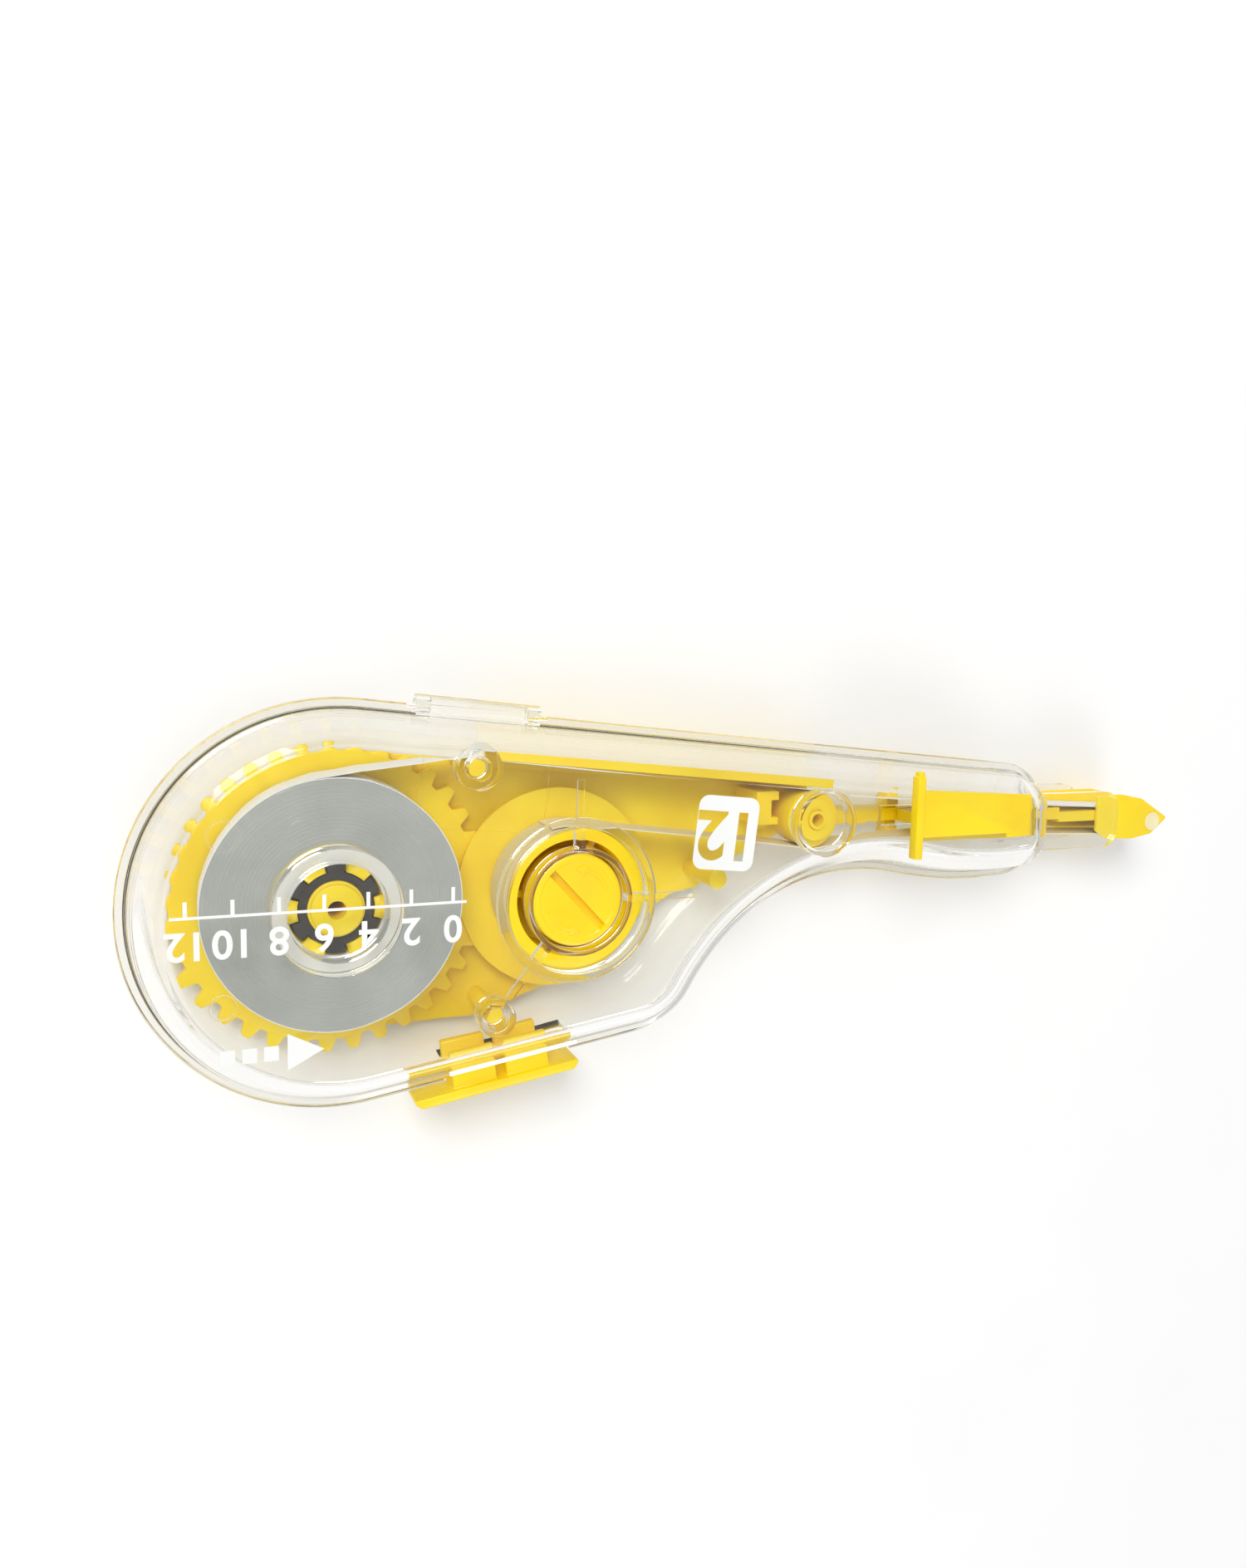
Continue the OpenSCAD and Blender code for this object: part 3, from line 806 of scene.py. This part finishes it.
    def lock(self) -> bpy.types.Object:
        """The sliding clip: a softened copy of the CAD part."""
        return moulded("case_lock", 0.25)

    def figures(self, text: str, size: float, at: tuple, turn: float, height: tuple,
                bold: float = 0.08) -> bpy.types.Object:
        """Numbers as a thin solid: the font's outline carried up, then turned and placed.

        Args:
            text: The digits.
            size: Height of the letters' body, in millimetres.
            at: Centre in X and Y, in millimetres.
            turn: Angle in degrees.
            height: Lower and upper height, in millimetres.
            bold: How far the outlines are widened, in millimetres.

        Returns:
            The mesh piece.
        """
        curve = bpy.data.curves.new("figures", "FONT")
        curve.body, curve.size = text, size * MM
        curve.align_x, curve.align_y = "CENTER", "CENTER"
        curve.extrude = (height[1] - height[0]) / 2 * MM
        curve.offset = bold * MM
        source = bpy.data.objects.new("figures_source", curve)
        bpy.context.scene.collection.objects.link(source)
        graph = bpy.context.evaluated_depsgraph_get()
        mesh = bpy.data.meshes.new_from_object(source.evaluated_get(graph))
        bpy.data.objects.remove(source)
        middle = (height[0] + height[1]) / 2
        mesh.transform(Matrix.Translation((at[0] * MM, at[1] * MM, middle * MM))
                       @ Matrix.Rotation(math.radians(turn), 4, "Z"))
        bm = bmesh.new()
        bm.from_mesh(mesh)
        bmesh.ops.remove_doubles(bm, verts=bm.verts, dist=WELD)
        bmesh.ops.recalc_face_normals(bm, faces=bm.faces)
        bm.to_mesh(mesh)
        bm.free()
        piece = bpy.data.objects.new("figures", mesh)
        bpy.context.scene.collection.objects.link(piece)
        return piece

    def panel(self) -> bpy.types.Object:
        """The white panel with the tape's length cut out of it: a rectangle with round corners."""
        half_x, half_y, r = self.panel_size
        corners = [((half_x - r, r - half_y), -90.0), ((half_x - r, half_y - r), 0.0),
                   ((r - half_x, half_y - r), 90.0), ((r - half_x, r - half_y), 180.0)]
        flat = np.concatenate([np.array(c) + r * unit(a + np.linspace(0, 90, 10)) for c, a in corners])
        place = line_place(np.array(self.panel_at), self.hinge_slope)
        plate = prism("capacity_panel", flat @ place[:, :2].T + place[:, 2], self.print_z)
        digits = self.figures("12", size=8.0, at=self.panel_at, turn=174.3, height=(13.9, 14.2),
                              bold=0.22)
        return combine(plate, Solver.CUT, [digits])

    def gauge(self) -> bpy.types.Object:
        """A scale of tape left, across the roll: a base line, seven ticks and their numbers."""
        z = self.print_z
        marks = np.linspace(-15.5, 12.1, 7)
        (low, high), tick_end, half = (0.55, 0.85), 2.4, 0.2
        line = slab("tape_gauge", (-17.0, 13.6), (low, high), z)
        parts = [slab("tick", (x - half, x + half), (high, tick_end), z) for x in marks]
        parts += [self.figures(str(2 * i), size=4.2, at=(x, -2.1), turn=180.0, height=z)
                  for i, x in enumerate(marks[::-1])]
        return self.collect(line, parts)

    def arrow(self) -> bpy.types.Object:
        """Three bars and a point that show which way the tape is pulled."""
        z = self.print_z
        point = prism("pull_arrow", np.array([[-5.6, -16.4], [-1.8, -14.4], [-5.6, -12.4]]), z)
        length = 1.5
        bars = [slab("bar", (x, x + length), (-15.2, -13.6), z) for x in (-12.4, -10.2, -8.0)]
        return self.collect(point, bars)

    @staticmethod
    def collect(first: bpy.types.Object, others: list) -> bpy.types.Object:
        """Puts separate solids into one object's mesh."""
        bm = bmesh.new()
        for piece in (first, *others):
            bm.from_mesh(piece.data)
        bm.to_mesh(first.data)
        bm.free()
        for piece in others:
            bpy.data.objects.remove(piece)
        return first

    def build(self) -> None:
        """Makes and dresses the case's pieces."""
        dress(self.back(), self.clear, "case", "clear_case", "case_back")
        dress(self.front(), self.clear, "front", "clear_case", "case_front")
        dress(self.lock(), self.yellow, "lock", "yellow_plastic", "case_lock")
        dress(self.panel(), self.ink, "front", "tape_white")
        dress(self.gauge(), self.ink, "front", "tape_white")
        dress(self.arrow(), self.ink, "front", "tape_white")


# ---------------------------------------------------------------- cartridge


@dataclass
class Cartridge:
    """Frame, gears, spools and the tape that is wound on them."""

    yellow: bpy.types.Material
    rubber: bpy.types.Material
    pale: bpy.types.Material
    white: bpy.types.Material
    tape: bpy.types.Material
    film: bpy.types.Material
    takeup: tuple = TAKEUP_AXIS
    roll: tuple = (6.95, ROLL_R)  # inner and outer radius, as in the next two
    used: tuple = (7.6, USED_R)
    core: tuple = (5.22, 6.93)
    core_step: tuple = (0.21, 0.4)  # the core's lower and upper end above the tape
    skin: float = 0.05  # the outermost wind reaches this far to each side of the roll's edge
    tape_z: tuple = TAPE_Z
    knob_r: float = 5.4
    knob_z: tuple = (8.3, 12.9)
    groove: float = -47.0  # degrees from X
    groove_size: tuple = (4.6, 0.45, 1.3)  # half length, half width, depth
    arrow_r: float = 3.6
    arrow_sweep: float = 75.0
    arrow_shaft: float = 0.16  # half width of the band
    arrow_head: tuple = (0.6, 0.26)  # half width, and its share of the sweep

    def wound(self, name: str, centre: tuple, radii: tuple, grooves: int) -> bpy.types.Object:
        """Wound tape: each end face rises and falls by a few hundredths with the radius.

        The face moves by 0.018 sin p + 0.012 sin 0.37 p - 0.03, where the phase p makes one
        turn for each wind that shows. The second, slower wave keeps the winds from looking
        machined.

        Args:
            name: The piece's name.
            centre: The axis's place, in millimetres.
            radii: Inner and outer radius.
            grooves: How many winds show across the face.

        Returns:
            The piece.
        """
        r = np.linspace(radii[0], radii[1], grooves * 4)
        phase = 2 * np.pi * np.linspace(0, grooves, len(r))
        wave = 0.018 * np.sin(phase) + 0.012 * np.sin(0.37 * phase) - 0.03
        top = np.column_stack([r, self.tape_z[1] + wave])
        bottom = np.column_stack([r, self.tape_z[0] - wave])[::-1]
        return smooth(lathe(name, np.concatenate([top, bottom]), centre, 160), 60)

    def knob(self) -> bpy.types.Object:
        """The winding knob: a stepped disc with a coin groove and two raised turn arrows."""
        r, (z0, z1) = self.knob_r, self.knob_z
        section = [(0.02, z0), (r, z0), (r, z1 - 0.35), (r - 0.1, z1 - 0.12), (r - 0.35, z1),
                   (r - 0.8, z1), (r - 0.95, z1 - 0.12), (0.02, z1 - 0.12)]
        knob = lathe("knob_disc", np.array(section), self.takeup, 128)
        place = line_place(np.array(self.takeup), self.groove)
        long, wide, deep = self.groove_size
        groove = slab("groove", (-long, long), (-wide, wide), (z1 - deep, z1 + 1), place)
        combine(knob, Solver.CUT, [groove])
        arrows = [self.turn_arrow(a) for a in (20.0, 200.0)]
        combine(knob, Solver.JOIN, arrows)
        return soften(knob, 0.06)

    def turn_arrow(self, start: float) -> bpy.types.Object:
        """A curved arrow on the knob: a band along an arc, with a head that ends in a point.

        The head's half width is wide (1 - t) / share + 0.01, where t runs from 0 to 1 along
        the arc.

        Args:
            start: The arc's first angle, in degrees.

        Returns:
            The arrow.
        """
        t = np.linspace(0.0, 1.0, 25)
        angle = start + self.arrow_sweep * t
        wide, share = self.arrow_head
        half = np.where(t < 1 - share, self.arrow_shaft, wide * (1 - t) / share + 0.01)
        centre = np.asarray(self.takeup)
        outer = centre + (self.arrow_r + half)[:, None] * unit(angle)
        inner = centre + (self.arrow_r - half)[:, None] * unit(angle)
        top = self.knob_z[1]
        return prism("turn_arrow", np.concatenate([outer, inner[::-1]]), (top - 0.3, top))

    def build(self) -> None:
        """Makes and dresses the cartridge's pieces."""
        plastic = {"chassis": ("case", 0.12), "axle_cap": ("case", 0.12),
                   "supply_gear": ("drive", 0.12), "supply_hub": ("spool", 0.08),
                   "takeup_gear": ("takeup", 0.1), "takeup_spool": ("takeup", 0.12),
                   "guide_roller": ("guide", 0.15)}
        for node, (body, width) in plastic.items():
            dress(moulded(node, width), self.yellow, body, "yellow_plastic", node)
        dress(moulded("clutch_ring", 0.06), self.rubber, "spool", "dark_rubber", "clutch_ring")
        dress(self.wound("tape_winds", (0, 0), self.roll, 44), self.tape, "spool", "tape_grey",
              "tape_roll")
        dress(self.wound("film_winds", self.takeup, self.used, 5), self.film, "takeup",
              "film_cream", "used_film")
        low, high = self.tape_z
        step = self.core_step
        # The tape core is pale plastic, and its pale colour also stands in for the reflections of the
        # clear tube over it: painted sheen.
        core = tube("tape_core", (0, 0), self.core, (high + step[0], high + step[1]), soft=0.05)
        dress(smooth(core), self.pale, "spool", "roller_cream")
        edge = (self.roll[1] - self.skin, self.roll[1] + self.skin)
        wind = tube("outer_wind", (0, 0), edge, (low + 0.03, high - 0.01), soft=0.02)
        dress(smooth(wind), self.white, "spool", "tape_white")
        dress(self.knob(), self.yellow, "takeup", "yellow_plastic", "wind_knob")


@dataclass
class TapeRun:
    """The two free strands: coated tape out to the tip, bare film back to the take-up spool."""

    coated: bpy.types.Material
    film: bpy.types.Material
    thickness: float = 0.14
    gap: float = 0.08  # between a strand and what it lies on
    heights: tuple = (4.55, 9.45)
    roll: tuple = ((0.0, 0.0), ROLL_R)  # centre and radius, as in the drums that follow
    peg: tuple = (UPPER_PEG, 1.05)
    guide: tuple = (GUIDE_AXIS, 3.5)
    used: tuple = (TAKEUP_AXIS, USED_R)
    tip: tuple = (TIP_AXIS, TIP_R)
    lift: tuple = (79.0, 9.1)  # bend in the coated strand
    drop: tuple = (79.0, 4.9)  # the same in the film
    bend_r: float = -0.15  # a drum of this radius counts as a point, since wrap_radius() is 0
    hidden: float = 24.0  # degrees of each strand laid over the roll and the take-up spool
    wrap: float = 8.0  # degrees laid round the guide roller
    stretch: tuple = (65.5, 77.5)  # X between which the strands run straight
    middle: tuple = (0.007, 0.007)  # Y and Z of that stretch, in metres
    step: float = 3.0  # degrees between points round a drum

    def wrap_radius(self, drum: tuple) -> float:
        """Radius of the strand's middle where it lies on a drum."""
        return drum[1] + self.thickness / 2 + self.gap

    def normal(self, a: tuple, b: tuple, side: int = 1) -> float:
        """Angle of the common tangent's normal: the centre line's angle + acos((ra - s rb) / d)."""
        d = np.subtract(b[0], a[0])
        turn = (self.wrap_radius(a) - side * self.wrap_radius(b)) / np.hypot(*d)
        return math.degrees(math.atan2(d[1], d[0]) + math.acos(turn))

    def arc(self, drum: tuple, a0: float, a1: float) -> np.ndarray:
        """Points of the strand's middle round a drum, from angle a0 to a1."""
        count = max(2, math.ceil(abs(a1 - a0) / self.step))
        return np.asarray(drum[0]) + self.wrap_radius(drum) * unit(np.linspace(a0, a1, count + 1))

    def emerging(self, drum: tuple, a0: float, a1: float) -> np.ndarray:
        """As arc(), but the radius grows from 4 per cent less at angle a0."""
        points = self.arc(drum, a0, a1)
        grow = np.linspace(0.96, 1.0, len(points))[:, None]
        return np.asarray(drum[0]) + (points - np.asarray(drum[0])) * grow

    def ribbon(self, name: str, path: np.ndarray) -> bpy.types.Object:
        """A flat band along a path: its middle moved to each side by half the thickness.

        Args:
            name: The piece's name.
            path: Array of shape (count, 2), in millimetres.

        Returns:
            The closed piece.
        """
        step = np.gradient(path, axis=0)
        step /= np.linalg.norm(step, axis=1)[:, None]
        side = np.column_stack([-step[:, 1], step[:, 0]]) * self.thickness / 2
        low, high = self.heights
        flat = np.stack([path + side, path - side, path - side, path + side], axis=1)
        height = np.broadcast_to(np.array([low, low, high, high])[None, :, None],
                                 flat.shape[:2] + (1,))
        return smooth(ring_surface(name, np.concatenate([flat, height], axis=-1)))

    def straight(self, a: np.ndarray, b: np.ndarray) -> np.ndarray:
        """Points a millimetre apart on the line between two points, without the ends."""
        count = int(np.linalg.norm(b - a)) + 1
        return a + (b - a) * np.linspace(0, 1, count + 2)[1:-1, None]

    def joined(self, runs: list) -> np.ndarray:
        """Arcs in order, with straight runs between them."""
        path = [runs[0]]
        for run in runs[1:]:
            path += [self.straight(path[-1][-1], run[0]), run]
        return np.concatenate(path)

    def build(self) -> None:
        """Makes the two strands, which stretch between the case and the sliding head."""
        lift, drop = (np.array([self.lift]), np.array([self.drop]))
        a = self.normal(self.roll, self.peg)
        b = self.normal(self.peg, self.guide)
        over = self.normal((lift[0], self.bend_r), self.tip)
        under = self.normal(self.tip, (drop[0], self.bend_r))
        out = self.joined([self.emerging(self.roll, a + self.hidden, a),
                           self.arc(self.peg, a, b), self.arc(self.guide, b, b - self.wrap),
                           lift, self.arc(self.tip, over, 0.0)])
        c = self.normal(self.guide, self.used, -1)
        d = c + 180
        back = self.joined([self.arc(self.tip, -2.0, under), drop,
                            self.arc(self.guide, c + self.wrap, c),
                            self.arc(self.used, d, d + self.hidden)])
        tape = self.ribbon("coated_tape", out)
        film = self.ribbon("carrier_film", back)
        for piece, material, slot, nodes in (
                (tape, self.coated, "tape_white", ("tape_strand", "tip_tape")),
                (film, self.film, "film_cream", ("film_strand",))):
            piece.data.materials.append(material)
            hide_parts(*nodes)
            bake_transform(piece)
            LOG.info("%s blends from the case to the head", piece.name)


# ---------------------------------------------------------------- head


@dataclass
class Head:
    """The sliding head, its tip roller and the thumb slide on the front face."""

    yellow: bpy.types.Material
    cream: bpy.types.Material
    tip: tuple = TIP_AXIS
    roller: tuple = (0.95, TIP_R)  # inner and outer radius
    crown: float = 0.06
    plate_top: float = 10.3
    tape_z: tuple = TAPE_Z

    def tip_roller(self) -> bpy.types.Object:
        """The roller, a little crowned: radius R - crown (2 u - 1)^4 over its width u."""
        u = np.linspace(0.0, 1.0, 21)
        z = self.tape_z[0] + (self.tape_z[1] - self.tape_z[0]) * u
        r = self.roller[1] - self.crown * (2 * u - 1) ** 4
        outside = np.column_stack([r, z])
        inside = np.array([[self.roller[0], self.tape_z[1]], [self.roller[0], self.tape_z[0]]])
        return smooth(lathe("roller_sleeve", np.concatenate([outside, inside]), self.tip, 64))

    def axle_end(self) -> bpy.types.Object:
        """The flanged end of the roller's pin, let into the front plate: a rim round a dished middle."""
        top, base = self.plate_top + 0.14, self.plate_top - 0.1
        section = [(0.02, base), (1.3, base), (1.3, top - 0.04), (1.26, top), (0.98, top),
                   (0.9, top - 0.1), (0.5, top - 0.13), (0.02, top - 0.13)]
        return smooth(lathe("axle_end", np.array(section), self.tip, 64))

    def build(self) -> None:
        """Makes and dresses the head's pieces."""
        for node in ("head_frame", "head_plate_front", "head_plate_back"):
            dress(moulded(node, 0.15), self.yellow, "head", "yellow_plastic", node)
        dress(moulded("tip_pin", 0.12), self.cream, "head", "roller_cream", "tip_pin")
        dress(moulded("thumb_slide", 0.2), self.yellow, "thumb", "yellow_plastic", "thumb_slide")
        dress(self.axle_end(), self.cream, "head", "roller_cream")
        dress(self.tip_roller(), self.cream, "tip", "roller_cream", "tip_roller")


# ---------------------------------------------------------------- studio


@dataclass
class Studio:
    """Floor, soft lights and camera."""

    eye: tuple = (-18.53, 31.32, 140.5)  # millimetres
    right: tuple = (0.930, 0.025, 0.366)
    up: tuple = (0.025, 0.991, -0.1315)
    back: tuple = (-0.366, 0.1315, 0.921)
    lens: float = 27.65
    target: tuple = (0.045, 0.0, 0.0)  # what the lights aim at, in metres
    world: float = 0.6
    floor_reach: float = 1500.0

    def camera(self) -> None:
        """Stands the camera over the front face."""
        data = bpy.data.cameras.new("camera")
        data.lens, data.sensor_width, data.clip_start = self.lens, 36.0, 0.005
        camera = bpy.data.objects.new("camera", data)
        bpy.context.scene.collection.objects.link(camera)
        axes = np.array([self.right, self.up, self.back], float)
        axes /= np.linalg.norm(axes, axis=1)[:, None]
        turn = np.eye(4)
        turn[:3, :3] = axes.T
        turn[:3, 3] = np.array(self.eye) * MM
        camera.matrix_world = Matrix(turn.tolist())
        bpy.context.scene.camera = camera

    def light(self, name: str, at: tuple, size: float, power: float) -> None:
        """A square area light aimed at the middle of the object, placed in metres."""
        data = bpy.data.lights.new(name, "AREA")
        data.size, data.energy, data.shape = size, power, "SQUARE"
        lamp = bpy.data.objects.new(name, data)
        bpy.context.scene.collection.objects.link(lamp)
        aim = Vector(self.target) - Vector(at)
        turn = aim.to_track_quat("-Z", "Y").to_matrix().to_4x4()
        lamp.matrix_world = Matrix.Translation(at) @ turn

    def floor(self) -> None:
        """A wide pale floor under the object."""
        across = (-self.floor_reach, self.floor_reach)
        floor = slab("floor", across, across, (-20.0, -0.02))
        material, principled, _ = shader("pale_floor")
        tree = material.node_tree
        place = add(tree, "ShaderNodeTexCoord").outputs["Object"]
        cloud = add(tree, "ShaderNodeTexNoise", {"Vector": place, "Scale": 40.0})
        tint = add(tree, "ShaderNodeMix", {0: cloud.outputs["Fac"], 6: (0.97, 0.97, 0.97, 1),
                                           7: (0.94, 0.94, 0.94, 1)}, data_type="RGBA")
        tree.links.new(tint.outputs[2], principled.inputs["Base Color"])
        principled.inputs["Roughness"].default_value = 0.7
        floor.data.materials.append(material)

    def build(self) -> None:
        """Makes the whole setting."""
        world = bpy.data.worlds.new("studio")
        bpy.context.scene.world = world
        world.use_nodes = True
        background = world.node_tree.nodes["Background"]
        background.inputs["Color"].default_value = (1.0, 1.0, 1.0, 1.0)
        background.inputs["Strength"].default_value = self.world
        self.camera()
        self.light("key", at=(-0.2, 0.35, 0.5), size=0.3, power=2.3)
        self.light("fill", at=(0.25, -0.6, 0.45), size=0.4, power=1.3)
        self.floor()
        bpy.context.scene.view_settings.view_transform = "Standard"


def main() -> None:
    """Builds the finishes, then each sub-assembly in order."""
    logging.basicConfig(level=logging.INFO, format="%(name)s: %(message)s")
    grain, windings = Grain(), Windings()
    yellow = Plastic("yellow_plastic", color=(1.0, 0.75, 0.008), deep=(0.97, 0.66, 0.005),
                     roughness=0.3, subsurface=0.12).build(grain)
    rubber = Plastic("dark_rubber", color=(0.03, 0.027, 0.025), deep=(0.05, 0.045, 0.04),
                     roughness=0.6).build(grain)
    white = Plastic("tape_white", color=(0.86, 0.86, 0.84), deep=(0.8, 0.8, 0.77),
                    roughness=0.5).build(grain)
    cream = Plastic("roller_cream", color=(0.9, 0.82, 0.5), deep=(0.85, 0.75, 0.42),
                    roughness=0.45).build(grain)
    # Pale core colour: partly the core's own colour, partly painted sheen for the clear tube's
    # reflections over it.
    pale = Plastic("core_pale_painted_sheen", color=(0.8, 0.8, 0.76), deep=(0.74, 0.73, 0.68),
                   roughness=0.35).build(grain)
    ink = Plastic("white_ink", color=(0.92, 0.93, 0.91), deep=(0.86, 0.87, 0.84),
                  roughness=0.45).build(grain)
    film = Plastic("film_cream", color=(0.85, 0.8, 0.6), deep=(0.8, 0.73, 0.5),
                   roughness=0.35).build(grain)
    clear = ClearPlastic("clear_case", color=(0.985, 0.98, 0.96),
                         deep=(0.97, 0.968, 0.945)).build(grain)
    tape = WoundFilm("tape_grey", color=(0.44, 0.46, 0.44), deep=(0.35, 0.37, 0.35),
                     centre=(0.0, 0.0)).build(windings)
    wound = WoundFilm("film_wound", color=(0.8, 0.74, 0.5), deep=(0.7, 0.62, 0.36),
                      centre=TAKEUP_AXIS).build(windings)
    Cartridge(yellow, rubber, pale, white, tape, wound).build()
    TapeRun(white, film).build()
    Head(yellow, cream).build()
    Case(clear, yellow, ink).build()
    Studio().build()


if __name__ == "__main__":
    main()
